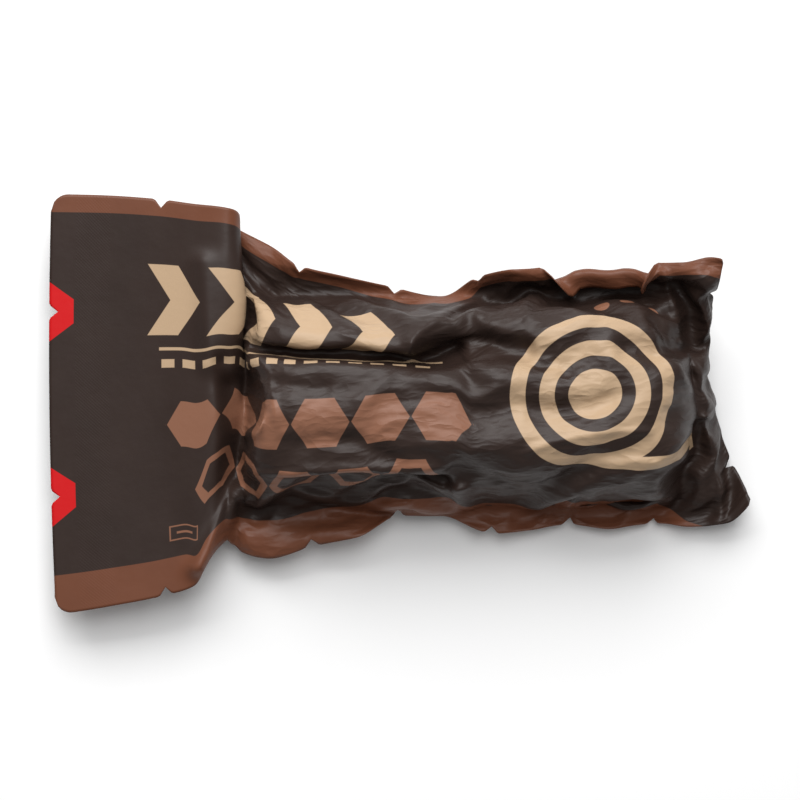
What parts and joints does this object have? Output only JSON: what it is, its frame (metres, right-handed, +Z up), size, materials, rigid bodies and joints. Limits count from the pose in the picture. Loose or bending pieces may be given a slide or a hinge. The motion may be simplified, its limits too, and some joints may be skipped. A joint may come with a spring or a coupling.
{
  "type": "vacuum-packed compression bandage in a film pouch",
  "caption": "Rolled compression bandage vacuum-packed in a sealed film pouch, with a flat header flap, crumpled skin over the roll, welded side fins and tear notches.",
  "frame": {"origin": "under the middle of the pack, on the surface that it lies on", "axes": "+X from the flat header flap to the crumpled tail, +Y across the pack, +Z up out of the printed front"},
  "size_m": [0.233, 0.1394, 0.0441],
  "materials": {
    "printed_film": "satin printed laminate film, dark brown-grey with brown margins, tan and brown print and red tear arrows",
    "plain_film": "satin laminate film, dark brown-grey with brown margins",
    "bandage": "undyed elastic knit"
  },
  "bodies": {
    "root": {"front_film": "printed_film", "back_film": "plain_film", "bandage_roll": "bandage"}
  },
  "joints": []
}
